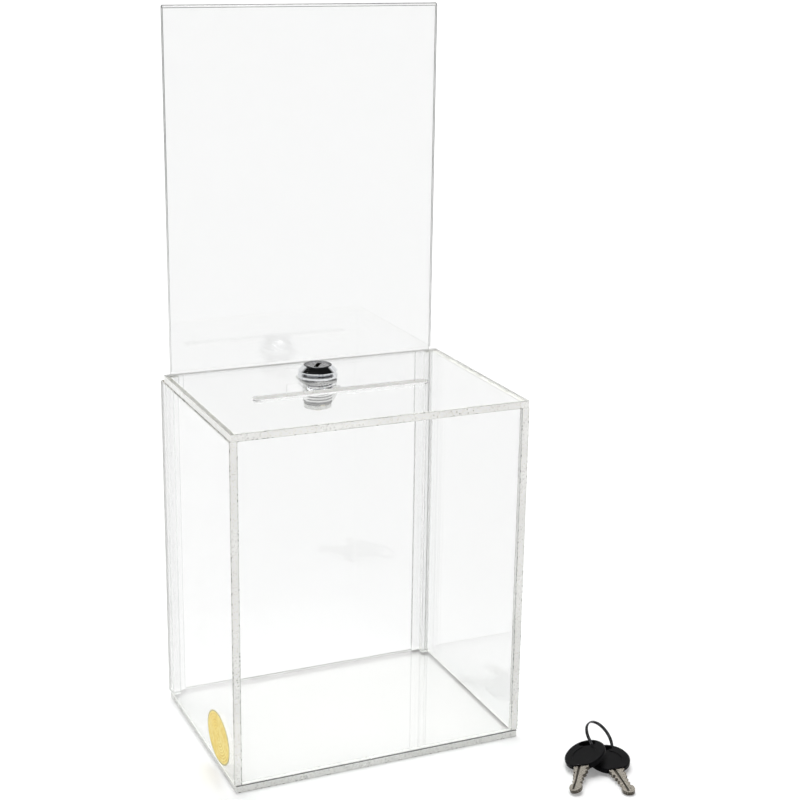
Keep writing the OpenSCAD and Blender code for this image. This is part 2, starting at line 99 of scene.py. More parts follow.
# Acrylic: polished faces
ACRYLIC_IOR = 1.49
FACE_TINT = (0.964, 0.966, 0.965, 1)
# Painted shade: the base passes less light than the other sheets, which greys the floor seen inside
# the box
BASE_SHADE_TINT = (0.90, 0.885, 0.885, 1)
VOLUME_TINT = (0.80, 0.86, 0.80, 1)
VOLUME_DENSITY = 2.0
LAMP_PASS = (0.95, 0.96, 0.955, 1)
HAZE_SCALE = 35
HAZE_BAND = (0.5, 0.85)
HAZE_ROUGH = (0.0, 0.015)
WAVE_SCALE = 9
WAVE_RELIEF = (0.10, 0.2 * MM)

# Acrylic: cut edges, with a painted glow: emission that brightens them, least on the base and most
# in the slot
EDGE_PALE = (0.97, 0.97, 0.945, 1)
EDGE_CLOUD = (0.86, 0.86, 0.83, 1)
EDGE_DARK = (0.50, 0.50, 0.47, 1)
EDGE_FLECK = (0.72, 0.71, 0.69, 1)
EDGE_PAINTED_GLOW = 0.13
BASE_PAINTED_GLOW = 0.04
SLOT_PAINTED_GLOW = 0.24
EDGE_TRANSMISSION = 0.12
EDGE_ROUGH = (0.22, 0.38)
EDGE_RELIEF = (0.25, 0.15 * MM)
EDGE_CLOUD_SCALE = 45
EDGE_CLOUD_BAND = (0.25, 0.75)
SAW_SCALE = 700
BUBBLE_SCALE = 520
BUBBLE_RIM = (0.16, 0.30)
PATCH_SCALE = 28
PATCH_BAND = (0.52, 0.62)
FLECK_SCALE = 950
FLECK_BAND = (0.50, 0.72)

# Acrylic: corners with speckles and painted shade in their dark tone, and glue seams, each with a
# dark and a pale tone and a scale
ARRIS_TONES = ((0.28, 0.28, 0.26, 1), (0.80, 0.80, 0.77, 1))
# The darkest corners are painted shade, at the lid's rear and along the base's seam
SHADE_ARRIS_TONES = ((0.02, 0.02, 0.02, 1), (0.12, 0.12, 0.115, 1))
# The folded panel's edges and fold line are painted shade, nearly black
PANEL_TONES = ((0.02, 0.02, 0.02, 1), (0.16, 0.16, 0.155, 1))
OLIVE_TONES = ((0.01, 0.01, 0.005, 1), (0.20, 0.195, 0.14, 1))
WELD_TONES = ((0.26, 0.25, 0.20, 1), (0.80, 0.79, 0.74, 1))
ARRIS_SCALE = 60
OLIVE_SCALE = 75
WELD_SCALE = 130
BUBBLES_PER_CLOUD = 9
SPECK_RIM = (0.15, 0.45)
SPECK_BAND = (0.12, 0.5)
SPECK_ROUGH = (0.30, 0.45)
SPECK_RELIEF = (0.2, 0.1 * MM)
# The panel's painted shade fades to pale from the upper height down to the lower
PANEL_FADE = (190 * MM, 300 * MM)
PANEL_PALE = (0.80, 0.80, 0.79, 1)

# Metal, plastic, foil and paper
METAL_DARK = 0.86
METAL_RELIEF = 0.05
METAL_RELIEF_DEPTH = 0.05 * MM
METAL_SPREAD = 0.08
GRAINS_PER_CLOUD = 12
LEAST_ROUGH = 0.02
PLASTIC_GRAIN = 2600
PLASTIC_CLOUD = 160
PLASTIC_WORN = 1.5
PLASTIC_DUST = 0.001
PLASTIC_SPREAD = 0.06
PLASTIC_RELIEF = (0.25, 0.04 * MM)
PLASTIC_IOR = 1.5
PLASTIC_GLOSS = 0.05
FOIL_DEEP = (0.97, 0.73, 0.13, 1)
FOIL_BRIGHT = (0.99, 0.83, 0.27, 1)
# Painted shade: the foil's tone in its pressed creases
FOIL_CREASE_SHADE = (0.80, 0.57, 0.10, 1)
FOIL_RIM = (0.58, 0.50, 0.24, 1)
FOIL_METALLIC = 0.6
FOIL_ROUGH = (0.30, 0.45)
FOIL_RELIEF = (0.35, 0.06 * MM)
FOIL_GRAIN = 520
FOIL_CLOUD = 90
RIM_BAND = (0.93, 0.965)
RING_WAVES = 60
GRAIN_OVER_RINGS = 4.0
CREASE_BAND = (1.6, 3.2)
PAPER_FIBRE = 800
PAPER_DARK = (0.88, 0.86, 0.78, 1)
PAPER_PALE = (0.93, 0.91, 0.85, 1)
PAPER_ROUGH = (0.6, 0.8)
# Painted light: the paper back glows
PAPER_PAINTED_GLOW = 0.35

# Lock head, above the lid: the CAD cone's ends move out to an upright band, so that
# the chamfer runs at 45 degrees from the band up to the plug
CONE_FOOT_Z = 1.9 * MM
CONE_TOP_Z = 5.8 * MM
CAP_R = 10.35 * MM
CAP_Z = 3.8 * MM
RIM_Z = 1.85 * MM
RIM_SEAM = 0.2 * MM
CROWN_R = 7.5 * MM
CROWN_Z = 6.1 * MM
GROOVES_TOP_Z = -1 * MM
HEAD_BEVEL = 0.18 * MM
HEAD_BEVEL_ANGLE = 25
HEAD_SMOOTH = 28

# Lock body: a neck painted dark as shade, from a low to a high place above the foot, drawn in
# from the surface that lies outside its radius, and the clip, drawn in outside its bore
BODY_FOOT = 172.5 * MM
NECK_LOW = 0.1 * MM
NECK_HIGH = 1.0 * MM
NECK_STEP = 0.05 * MM
NECK_DEPTH = 0.5 * MM
NECK_R = 6.3 * MM
CLIP_SHRINK = 0.84
CLIP_BORE_R = 9.0 * MM

# Keys: where each blade's tip lies (mm) and how the key is turned (degrees), as in the
# CAD model
KEY_AT = {
    "key_1": ((75.9, -127, 1.67), (-17.4, -7.9, 50.7)),
    "key_2": ((103.1, -138.5, 1.07), (-2.1, -4.2, 79.9)),
}
BLADE_HALF_W = 3.75 * MM
BLADE_HALF_T = 0.95 * MM
BLADE_L = 23.5 * MM
BLADE_KEPT = 0.91

# The waist as (mm from the tip, share of the width), and where the blade is cut across
# so that its sides can follow the waist
BLADE_WAIST = (
    (0, 0.86), (5.2, 0.86), (7.4, 0.68), (11.5, 0.70), (16, 0.90), (20.5, 1.09), (40, 1.09)
)
BLADE_STATIONS = [0.5 + i for i in range(20)]

# Key details: the ring's hole, the grooves' floors from the blade's middle plane, and
# the edges
HOLE_X = 41.9 * MM
HOLE_HALF_L = 4.75 * MM
HOLE_HALF_W = 2.5 * MM
HOLE_SQUASH = 0.45
GROOVE_FLOOR = 0.3 * MM
GROOVE_MARGIN = 0.02 * MM
BLADE_BEVEL = 0.1 * MM
GRIP_BEVEL = 0.15 * MM
KEY_SMOOTH = 35

# Seal: the photograph shows an oval, wider than the CAD disc
SEAL_STRETCH = (1.0, 1.223, 0.918)

# Stage
FLOOR_SIZE = 60.0
FLOOR_ALBEDO = 0.80
FLOOR_LIFT = 0.20
FLOOR_LIFT_THROUGH = 0.07
FLOOR_DROP = 0.02 * MM
SUN_STRENGTH = 2.75
SUN_ANGLE = 48
SUN_AIM = (-0.06, -0.30, -1)
BACK_LEVEL = 0.97
BACK_FADE = (0.55, 0.85)
CEILING_LEVEL = 0.01
CEILING_FADE = (0.50, 0.66)
WHITE = (1, 1, 1, 1)


def node_tree(name):
    """A new material with an empty tree and its output node."""
    material = bpy.data.materials.new(name)
    material.use_nodes = True
    tree = material.node_tree
    tree.nodes.clear()
    return material, tree, tree.nodes.new("ShaderNodeOutputMaterial")


def add(tree, kind, links=None, **values):
    """A shader node with its settings, socket values and incoming links."""
    node = tree.nodes.new("ShaderNode" + kind)
    for key, value in values.items():
        name = key.replace("_", " ")
        socket = node.inputs.get(name) or node.inputs.get(name.title())
        if hasattr(node, key) and not socket:
            setattr(node, key, value)
        else:
            socket.default_value = value
    for key, source in (links or {}).items():
        target = node.inputs[key]
        tree.links.new(source, target)
    return node


def noise(tree, coords, scale, detail):
    """Noise from 0 to 1, finer with its scale."""
    texture = add(tree, "TexNoise", {"Vector": coords}, Scale=scale, Detail=detail)
    return texture.outputs["Fac"]


def ramp(tree, source, low, high, start=0.0, end=1.0):
    """Maps source from low..high to start..end, clamped."""
    node = add(tree, "MapRange", {"Value": source})
    node.inputs["From Min"].default_value = low
    node.inputs["From Max"].default_value = high
    node.inputs["To Min"].default_value = start
    node.inputs["To Max"].default_value = end
    return node.outputs["Result"]


def mix_color(tree, factor, a, b):
    """Mixes two colours, each a value or a socket."""
    node = tree.nodes.new("ShaderNodeMix")
    node.data_type = "RGBA"
    tree.links.new(factor, node.inputs["Factor"])
    for socket, value in ((node.inputs[MIX_A], a), (node.inputs[MIX_B], b)):
        if isinstance(value, bpy.types.NodeSocket):
            tree.links.new(value, socket)
        else:
            socket.default_value = value
    return node.outputs[MIX_RESULT]


def bump(tree, height, strength, distance):
    """A normal that follows a height."""
    node = add(tree, "Bump", {"Height": height}, Strength=strength, Distance=distance)
    return node.outputs["Normal"]


def let_lamps_through(tree, shader, out):
    """Sends the shader to the output, but lets light from lamps pass with a slight loss."""
    passing = add(tree, "BsdfTransparent", Color=LAMP_PASS)
    path = add(tree, "LightPath")
    mixed = add(
        tree, "MixShader",
        {0: path.outputs["Is Shadow Ray"], 1: shader.outputs[0], 2: passing.outputs[0]},
    )
    tree.links.new(mixed.outputs[0], out.inputs["Surface"])
    volume = add(tree, "VolumeAbsorption", Color=VOLUME_TINT, Density=VOLUME_DENSITY)
    tree.links.new(volume.outputs[0], out.inputs["Volume"])


def acrylic_face_material(name, tint):
    """Polished faces of cast sheet, with the faint waviness that such sheet has."""
    material, tree, out = node_tree(name)
    coords = add(tree, "TexCoord")
    haze = noise(tree, coords.outputs["Object"], HAZE_SCALE, detail=4)
    wave = noise(tree, coords.outputs["Object"], WAVE_SCALE, detail=2)
    shader = add(
        tree, "BsdfPrincipled",
        {"Roughness": ramp(tree, haze, *HAZE_BAND, *HAZE_ROUGH),
         "Normal": bump(tree, wave, *WAVE_RELIEF)},
        Base_Color=tint, IOR=ACRYLIC_IOR,
    )
    shader.inputs["Transmission Weight"].default_value = 1.0
    let_lamps_through(tree, shader, out)
    return material


def acrylic_edge_material(name, glow):
    """Cut edges: pale and half frosted, with cutter marks, bubbles and flecks.

    The glow is painted light: the edge's own tone, emitted so that the edge looks brighter than its
    lighting makes it.
    """
    material, tree, out = node_tree(name)
    coords = add(tree, "TexCoord")
    place = coords.outputs["Object"]
    cloud = noise(tree, place, EDGE_CLOUD_SCALE, detail=4)
    saw = noise(tree, place, SAW_SCALE, detail=3)
    bubbles = add(tree, "TexVoronoi", {"Vector": place}, Scale=BUBBLE_SCALE)
    speck = ramp(tree, bubbles.outputs["Distance"], *BUBBLE_RIM, 1, 0)
    where = ramp(tree, noise(tree, place, PATCH_SCALE, detail=2), *PATCH_BAND)
    dots = add(tree, "Math", {0: speck, 1: where}, operation="MULTIPLY")
    tone = mix_color(tree, ramp(tree, cloud, *EDGE_CLOUD_BAND), EDGE_PALE, EDGE_CLOUD)
    tone = mix_color(tree, dots.outputs[0], tone, EDGE_DARK)
    fleck = ramp(tree, noise(tree, place, FLECK_SCALE, detail=2), *FLECK_BAND)
    tone = mix_color(tree, fleck, tone, EDGE_FLECK)
    height = add(tree, "Math", {0: saw, 1: dots.outputs[0]}, operation="SUBTRACT")
    shader = add(
        tree, "BsdfPrincipled",
        {"Base Color": tone, "Roughness": ramp(tree, cloud, *MIDDLE, *EDGE_ROUGH),
         "Normal": bump(tree, height.outputs[0], *EDGE_RELIEF)},
        IOR=ACRYLIC_IOR,
    )
    shader.inputs["Transmission Weight"].default_value = EDGE_TRANSMISSION
    # Painted light: the edge tone is also emitted
    tree.links.new(tone, shader.inputs["Emission Color"])
    shader.inputs["Emission Strength"].default_value = glow
    let_lamps_through(tree, shader, out)
    return material


def speckled_material(name, tones, scale, fade=None):
    """A corner or a glued seam: clouds and small bubbles from dark to pale; on a corner the dark is
    partly painted shade.

    With a fade (low, high) the material turns pale from the upper height down to the lower; on the
    folded panel this fades its painted shade.
    """
    material, tree, out = node_tree(name)
    coords = add(tree, "TexCoord")
    cloud = noise(tree, coords.outputs["Object"], scale, detail=4)
    bubbles = add(
        tree, "TexVoronoi", {"Vector": coords.outputs["Object"]}, Scale=BUBBLES_PER_CLOUD * scale
    )
    speck = ramp(tree, bubbles.outputs["Distance"], *SPECK_RIM)
    mixed = add(tree, "Math", {0: cloud, 1: speck}, operation="MULTIPLY")
    tone = mix_color(tree, ramp(tree, mixed.outputs[0], *SPECK_BAND), *tones)
    if fade:
        split = add(tree, "SeparateXYZ", {"Vector": coords.outputs["Object"]})
        tone = mix_color(tree, ramp(tree, split.outputs["Z"], *fade), PANEL_PALE, tone)
    shader = add(
        tree, "BsdfPrincipled",
        {"Base Color": tone, "Roughness": ramp(tree, cloud, *MIDDLE, *SPECK_ROUGH),
         "Normal": bump(tree, speck, *SPECK_RELIEF)},
        IOR=ACRYLIC_IOR,
    )
    let_lamps_through(tree, shader, out)
    return material


def metal_material(name, color, roughness, scale, relief=METAL_RELIEF, spread=METAL_SPREAD):
    """Metal with fine grain in its roughness, colour and surface."""
    material, tree, out = node_tree(name)
    coords = add(tree, "TexCoord")
    grain = noise(tree, coords.outputs["Object"], scale, detail=4)
    cloud = noise(tree, coords.outputs["Object"], scale / GRAINS_PER_CLOUD, detail=3)
    dark = tuple(METAL_DARK * c for c in color) + (1,)
    tone = mix_color(tree, cloud, dark, color + (1,))
    least = max(roughness - spread, LEAST_ROUGH)
    shader = add(
        tree, "BsdfPrincipled",
        {"Base Color": tone,
         "Roughness": ramp(tree, grain, *MIDDLE, least, roughness + spread),
         "Normal": bump(tree, grain, relief, METAL_RELIEF_DEPTH)},
        Metallic=1.0,
    )
    tree.links.new(shader.outputs[0], out.inputs["Surface"])
    return material


def plastic_material(name, color, roughness):
    """Moulded black plastic with a fine spark-eroded grain and little gloss."""
    material, tree, out = node_tree(name)
    coords = add(tree, "TexCoord")
    grain = noise(tree, coords.outputs["Object"], PLASTIC_GRAIN, detail=2)
    cloud = noise(tree, coords.outputs["Object"], PLASTIC_CLOUD, detail=3)
    worn = tuple(PLASTIC_WORN * c + PLASTIC_DUST for c in color) + (1,)
    tone = mix_color(tree, cloud, color + (1,), worn)
    rough = ramp(tree, cloud, *MIDDLE, roughness - PLASTIC_SPREAD, roughness + PLASTIC_SPREAD)
    shader = add(
        tree, "BsdfPrincipled",
        {"Base Color": tone, "Roughness": rough, "Normal": bump(tree, grain, *PLASTIC_RELIEF)},
        IOR=PLASTIC_IOR, Specular_IOR_Level=PLASTIC_GLOSS,
    )
    tree.links.new(shader.outputs[0], out.inputs["Surface"])
    return material


def foil_material():
    """Satin gold foil with pressed oval rings, darker in their creases as painted shade, and a
    narrow olive rim.
    """
    material, tree, out = node_tree("gold_foil")
    coords = add(tree, "TexCoord")
    low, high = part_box("gold_seal")
    half = (high.y - low.y) / 2
    offset = add(tree, "VectorMath", {0: coords.outputs["Object"]}, operation="SUBTRACT")
    offset.inputs[1].default_value = (low + high) / 2
    flat = add(tree, "VectorMath", {0: offset.outputs["Vector"]}, operation="MULTIPLY")
    flat.inputs[1].default_value = [0] + [1 / (half * k) for k in SEAL_STRETCH[1:]]
    length = add(tree, "VectorMath", {0: flat.outputs["Vector"]}, operation="LENGTH")
    reach = length.outputs["Value"]
    rim = ramp(tree, reach, *RIM_BAND)
    grain = noise(tree, coords.outputs["Object"], FOIL_GRAIN, detail=3)
    cloud = noise(tree, coords.outputs["Object"], FOIL_CLOUD, detail=3)
    turns = add(tree, "Math", {0: reach}, operation="MULTIPLY")
    turns.inputs[1].default_value = RING_WAVES
    rings = add(tree, "Math", {0: turns.outputs[0]}, operation="SINE")
    pressed = add(tree, "Math", {0: grain, 2: rings.outputs[0]}, operation="MULTIPLY_ADD")
    pressed.inputs[1].default_value = GRAIN_OVER_RINGS
    # Painted shade: the pressed creases take a darker gold
    crease_shade = ramp(tree, pressed.outputs[0], *CREASE_BAND)
    tone = mix_color(tree, ramp(tree, cloud, *MIDDLE), FOIL_DEEP, FOIL_BRIGHT)
    tone = mix_color(tree, crease_shade, tone, FOIL_CREASE_SHADE)
    tone = mix_color(tree, rim, tone, FOIL_RIM)
    shader = add(
        tree, "BsdfPrincipled",
        {"Base Color": tone, "Roughness": ramp(tree, grain, *MIDDLE, *FOIL_ROUGH),
         "Normal": bump(tree, pressed.outputs[0], *FOIL_RELIEF)},
        Metallic=FOIL_METALLIC,
    )
    tree.links.new(shader.outputs[0], out.inputs["Surface"])
    return material


def paper_material():
    """The pale glued back of the seal, seen through the box, with a painted glow that brightens it.
    """
    material, tree, out = node_tree("seal_paper")
    coords = add(tree, "TexCoord")
    fibre = noise(tree, coords.outputs["Object"], PAPER_FIBRE, detail=3)
    tone = mix_color(tree, fibre, PAPER_DARK, PAPER_PALE)
    shader = add(
        tree, "BsdfPrincipled",
        {"Base Color": tone, "Emission Color": tone,
         "Roughness": ramp(tree, fibre, *MIDDLE, *PAPER_ROUGH)},
    )
    # Painted light: the paper glows with its own tone
    shader.inputs["Emission Strength"].default_value = PAPER_PAINTED_GLOW
    tree.links.new(shader.outputs[0], out.inputs["Surface"])
    return material


def dress(node, material):
    """Gives a CAD node's object its material."""
    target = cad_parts[node]
    target.data.materials.clear()
    target.data.materials.append(material)


def is_edge(face, axis, fold_foot):
    """True for a cut edge. The bent top of the folded panel is no edge."""
    if abs(face.normal[axis]) > STRAIGHT:
        return False
    if fold_foot is None or abs(face.normal.x) > STRAIGHT:
        return True
    return face.calc_center_median().z < fold_foot


def make_piece(node, ending, body, materials, shape):
    """A copy of a CAD node that shape(work) reworks, riding on the node's body."""
    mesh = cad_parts[node].data.copy()
    mesh.materials.clear()
    for material in materials:
        mesh.materials.append(material)
    work = bmesh.new()
    work.from_mesh(mesh)
    bmesh.ops.remove_doubles(work, verts=work.verts, dist=MERGE_WITHIN)
    for face in work.faces:
        face.material_index = 0
    shape(work)
    work.normal_update()
    work.to_mesh(mesh)
    work.free()
    piece = bpy.data.objects.new(node + ending, mesh)
    bpy.context.collection.objects.link(piece)
    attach(piece, body)
    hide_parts(node)
    return piece


def soften(piece, width, angle):
    """Small rounding on every edge sharper than the angle."""
    bevel = piece.modifiers.new("edge", "BEVEL")
    bevel.width = width
    bevel.segments = 2
    bevel.limit_method = "ANGLE"
    bevel.angle_limit = math.radians(angle)


def smooth(piece, angle):
    """Smooth shading between faces that meet at less than the angle."""
    mesh = piece.data
    if "custom_normal" in mesh.attributes:
        mesh.attributes.remove(mesh.attributes["custom_normal"])
    mesh.shade_smooth()
    mesh.set_sharp_from_angle(angle=math.radians(angle))


def merge_flat(work):
    """Joins faces that lie in one plane, so that each edge of a piece is one face."""
    bmesh.ops.dissolve_limit(
        work, angle_limit=math.radians(FLAT_ANGLE), verts=work.verts, edges=work.edges
    )
    work.normal_update()


def sheet_piece(node, body, axis, shaves=(), fold_foot=None, clear_sides=False, seam=None):
    """A copy of a clear CAD sheet, with its edges and their corners in their own materials.

    The axis is the one that the sheet is thin along. Each shave (axis, value, shift) draws
    a bonded face back by a hair, so that two clear sheets never share one surface. The
    folded panel has a fold_foot, the height where its bend starts. The narrow strips have
    clear_sides: only their ends are cut edges. The seam is the glue on top of a wall.
    """
    low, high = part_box(node)
    across = [k for k in range(3) if k != axis]

    def inside(face):
        """True for the walls of a slot or hole, whose corners are cut clean."""
        spot = face.calc_center_median()
        return all(low[k] + HOLE_FROM_EDGE < spot[k] < high[k] - HOLE_FROM_EDGE for k in across)

    def is_fold_line(face):
        """True for the crest of the panel's fold, inside and outside."""
        spot = face.calc_center_median()
        return spot.z > high.z - FOLD_LINE_DEPTH and abs(face.normal.z) > FOLD_LINE_FACING

    def shape(work):
        for along, value, shift in shaves:
            for vert in work.verts:
                if abs(vert.co[along] - value) < SAME_PLACE:
                    vert.co[along] += shift
        merge_flat(work)
        if clear_sides:
            edges = [face for face in work.faces if abs(face.normal.z) > STRAIGHT]
        else:
            edges = [face for face in work.faces if is_edge(face, axis, fold_foot)]
        for face in edges:
            face.material_index = CUT
            if axis != UPRIGHT and face.normal.z > STRAIGHT:
                face.material_index = SEAM
            elif axis == UPRIGHT and inside(face):
                face.material_index = SLOT if face.normal.y < TO_FRONT else FACE
        # Painted shade: the folded panel's edges and fold line take the dark panel tone
        if fold_foot is not None:
            for face in edges + [face for face in work.faces if is_fold_line(face)]:
                face.material_index = CORNER
        elif not clear_sides:
            outer = [face for face in edges if not inside(face)]
            arris = bmesh.ops.inset_region(
                work, faces=outer, thickness=ARRIS_W, use_even_offset=True, use_boundary=True
            )
            # Painted shade: the lid's rear corner and the base's upper corners take the darkest
            # tone
            for face in arris["faces"]:
                spot = face.calc_center_median()
                at_rear = axis == UPRIGHT and spot.y > high.y - CAD_SNAP
                at_seam = node == "base_panel" and spot.z > (low.z + high.z) / 2
                face.material_index = SHADED_CORNER if at_rear or at_seam else CORNER

    corner = clear_arris if fold_foot is None else panel_edge
    sides, edge = (base_face, base_edge) if node == "base_panel" else (clear_face, clear_edge)
    materials = (sides, edge, corner, seam or weld_seam, slot_edge, shaded_arris)
    piece = make_piece(node, "_sheet", body, materials, shape)
    soften(piece, EDGE_BEVEL, BEVEL_ANGLE)


def clear_sheets():
    """All acrylic pieces, drawn back from each other where they are bonded."""
    floor_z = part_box("base_panel")[1].z
    lid_low, lid_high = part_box("lid_panel")
    standing = ((UPRIGHT, floor_z, WELD_GAP), (UPRIGHT, lid_low.z, -WELD_GAP))
    for node, seam in (("left_wall", olive_seam), ("right_wall", weld_seam)):
        sheet_piece(node, "box", SIDEWAYS, standing, seam=seam)
    left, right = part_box("front_wall")
    ends = ((SIDEWAYS, left.x, WELD_GAP), (SIDEWAYS, right.x, -WELD_GAP))
    sheet_piece("front_wall", "box", BACKWARD, standing + ends)
    sheet_piece("base_panel", "box", UPRIGHT, ((UPRIGHT, floor_z, -WELD_GAP),))
    sheet_piece("lid_panel", "box", UPRIGHT, ((UPRIGHT, lid_low.z, WELD_GAP),))
    for kind in ("guide_strip", "rear_strip"):
        left = (SIDEWAYS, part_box("left_" + kind)[0].x, WELD_GAP)
        right = (SIDEWAYS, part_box("right_" + kind)[1].x, -WELD_GAP)
        for node, bonded in (("left_" + kind, left), ("right_" + kind, right)):
            sheet_piece(node, "box", BACKWARD, standing + (bonded,), clear_sides=True)
    fold_foot = lid_high.z + FOLD_ABOVE_LID
    sheet_piece("back_panel", "sliding_panel", BACKWARD, fold_foot=fold_foot)


def cut_across(work, point, normal):
    """New edges where a plane cuts a piece, with the piece left whole."""
    bmesh.ops.bisect_plane(
        work, geom=work.verts[:] + work.edges[:] + work.faces[:], plane_co=point, plane_no=normal
    )


def lock_head_piece():
    """The housing with its chamfered head, and painted shade on its crown, rim seam, grooves and
    neck.
    """
    low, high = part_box("lock_housing")
    middle = (low + high) / 2
    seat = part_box("lid_panel")[1].z

    def reach(point):
        return math.hypot(point.x - middle.x, point.y - middle.y)

    def move_out(vert, radius, height):
        scale = radius / reach(vert.co)
        vert.co.x = middle.x + (vert.co.x - middle.x) * scale
        vert.co.y = middle.y + (vert.co.y - middle.y) * scale
        vert.co.z = seat + height

    def shape(work):
        for height in (NECK_LOW, NECK_LOW + NECK_STEP, NECK_HIGH - NECK_STEP, NECK_HIGH):
            cut_across(work, (0, 0, BODY_FOOT + height), (0, 0, 1))
        for vert in work.verts:
            if NECK_LOW + NECK_STEP / 2 < vert.co.z - BODY_FOOT < NECK_HIGH - NECK_STEP / 2:
                if reach(vert.co) > NECK_R:
                    move_out(vert, reach(vert.co) - NECK_DEPTH, vert.co.z - seat)
        for vert in work.verts:
            rise = vert.co.z - seat
            if abs(rise - CONE_FOOT_Z) < CAD_SNAP and reach(vert.co) > CROWN_R:
                move_out(vert, CAP_R, RIM_Z)
            elif abs(rise - CONE_TOP_Z) < CAD_SNAP and reach(vert.co) > CROWN_R:
                move_out(vert, CAP_R, CAP_Z)
        merge_flat(work)
        for face in work.faces:
            spot = face.calc_center_median()
            rise = spot.z - seat
            above_foot = spot.z - BODY_FOOT
            on_crown = rise > CROWN_Z and reach(spot) < CROWN_R
            on_seam = abs(rise - RIM_Z) < RIM_SEAM and face.normal.z > SLOPING_LEAST
            is_sloping = SLOPING_LEAST < abs(face.normal.z) < SLOPING_MOST
            in_groove = rise < GROOVES_TOP_Z and is_sloping
            on_neck = NECK_LOW < above_foot < NECK_HIGH and reach(spot) > NECK_R
            # Painted shade: the crown around the plug, the seam under the rim, the thread grooves
            # and the neck take near-black steel
            if on_crown or on_seam or in_groove or on_neck:
                face.material_index = SHADE_PAINTED
            elif rise < 0:
                face.material_index = BARREL if above_foot > NECK_LOW else FOOT
            else:
                face.material_index = CHROMED

    materials = (chrome, painted_shade_steel, barrel_zinc, screw)
    piece = make_piece("lock_housing", "_shape", "box", materials, shape)
    soften(piece, HEAD_BEVEL, HEAD_BEVEL_ANGLE)
    smooth(piece, HEAD_SMOOTH)


def clip_piece():
    """The retaining clip, drawn in so that the lock's head hides it as in the photograph."""
    low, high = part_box("lock_plug")
    middle = (low + high) / 2

    def shape(work):
        for vert in work.verts:
            out = Vector((vert.co.x - middle.x, vert.co.y - middle.y))
            if out.length > CLIP_BORE_R:
                out *= CLIP_SHRINK
                vert.co.x = middle.x + out.x
                vert.co.y = middle.y + out.y

    make_piece("retaining_clip", "_shape", "box", (zinc,), shape)


def key_place(key):
    """Where the CAD model puts a key: turned about X, then Y, then Z, and moved."""
    spot, turn = KEY_AT[key]
    around_x, around_y, around_z = (math.radians(angle) for angle in turn)
    spin = (
        Matrix.Rotation(around_z, 4, "Z") @ Matrix.Rotation(around_y, 4, "Y")
        @ Matrix.Rotation(around_x, 4, "X")
    )
    return Matrix.Translation(Vector(spot) * MM) @ spin


def waist(along):
    """How much of its full width a blade keeps at a distance from the tip."""
    for (left, a), (right, b) in zip(BLADE_WAIST, BLADE_WAIST[1:]):
        if along <= right:
            return a + (b - a) * max(along - left, 0) / (right - left)
    return BLADE_WAIST[-1][1]


def blade_piece(key):
    """The key's blade, waisted behind its round tip and shortened, with painted shade in its
    grooves.
    """
    place = key_place(key)
    back = place.inverted()

    def shape(work):
        for station in BLADE_STATIONS:
            point = place @ Vector((station * MM, 0, 0))
            cut_across(work, point, place.to_3x3() @ Vector((1, 0, 0)))
        for vert in work.verts:
            spot = back @ vert.co
            if abs(spot.y) < BLADE_HALF_W + CAD_SNAP:
                spot.y *= waist(spot.x / MM)
            spot.x += (1 - BLADE_KEPT) * max(BLADE_L - spot.x, 0)
            vert.co = place @ spot
        # Painted shade: the groove faces take the dark nickel
        for face in work.faces:
            out = abs((back @ face.calc_center_median()).z)
            face.material_index = int(GROOVE_FLOOR < out < BLADE_HALF_T - GROOVE_MARGIN)

    piece = make_piece(key + "_blade", "_shape", key, (nickel, nickel_shade), shape)
    soften(piece, BLADE_BEVEL, BEVEL_ANGLE)
    smooth(piece, KEY_SMOOTH)


def head_piece(key):
    """The key's head with the narrow hole that the ring runs through."""
    place = key_place(key)
    back = place.inverted()

    def shape(work):
        for vert in work.verts:
            spot = back @ vert.co
            gap = spot.x - HOLE_X
            beside = abs(spot.y) < HOLE_HALF_L + SAME_PLACE
            if -HOLE_HALF_W - SAME_PLACE < gap < 0 and beside:
                spot.x = HOLE_X + gap * HOLE_SQUASH
                vert.co = place @ spot

    piece = make_piece(key + "_head", "_shape", key, (black,), shape)
    soften(piece, GRIP_BEVEL, BEVEL_ANGLE)
    smooth(piece, KEY_SMOOTH)


def seal_piece():
    """The seal as an oval, with foil outside and paper on the side that is stuck down."""
    low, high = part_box("gold_seal")
    middle = (low + high) / 2

    def shape(work):
        for vert in work.verts:
            vert.co = middle + (vert.co - middle) * Vector(SEAL_STRETCH)
        for face in work.faces:
            face.material_index = int(face.normal.x > STRAIGHT)

    materials = (foil_material(), paper_material())
    make_piece("gold_seal", "_shape", "box", materials, shape)


def stage_floor():
    """White table: a matt surface that the camera sees as paper white, with soft shadows."""
    mesh = bpy.data.meshes.new("table_top")
    half = FLOOR_SIZE / 2
    corners = [(-half, -half, 0), (half, -half, 0), (half, half, 0), (-half, half, 0)]
    mesh.from_pydata(corners, [], [(0, 1, 2, 3)])
    table = bpy.data.objects.new("table_top", mesh)
    bpy.context.collection.objects.link(table)
    table.location.z = -FLOOR_DROP
    material, tree, out = node_tree("white_table")
    matt = add(tree, "BsdfDiffuse", Color=(FLOOR_ALBEDO,) * 3 + (1,))
    glow = add(tree, "Emission", Color=WHITE)
    path = add(tree, "LightPath")
    through = add(
        tree, "Math", {0: path.outputs["Is Glossy Ray"], 1: path.outputs["Is Transmission Ray"]},
        operation="MAXIMUM",
    )
    faint = add(tree, "Math", {0: through.outputs[0]}, operation="MULTIPLY")
    faint.inputs[1].default_value = FLOOR_LIFT_THROUGH
    lift = add(
        tree, "Math", {0: path.outputs["Is Camera Ray"], 2: faint.outputs[0]},
        operation="MULTIPLY_ADD",
    )
    lift.inputs[1].default_value = FLOOR_LIFT
    tree.links.new(lift.outputs[0], glow.inputs["Strength"])
    total = add(tree, "AddShader", {0: matt.outputs[0], 1: glow.outputs[0]})
    tree.links.new(total.outputs[0], out.inputs["Surface"])
    mesh.materials.append(material)


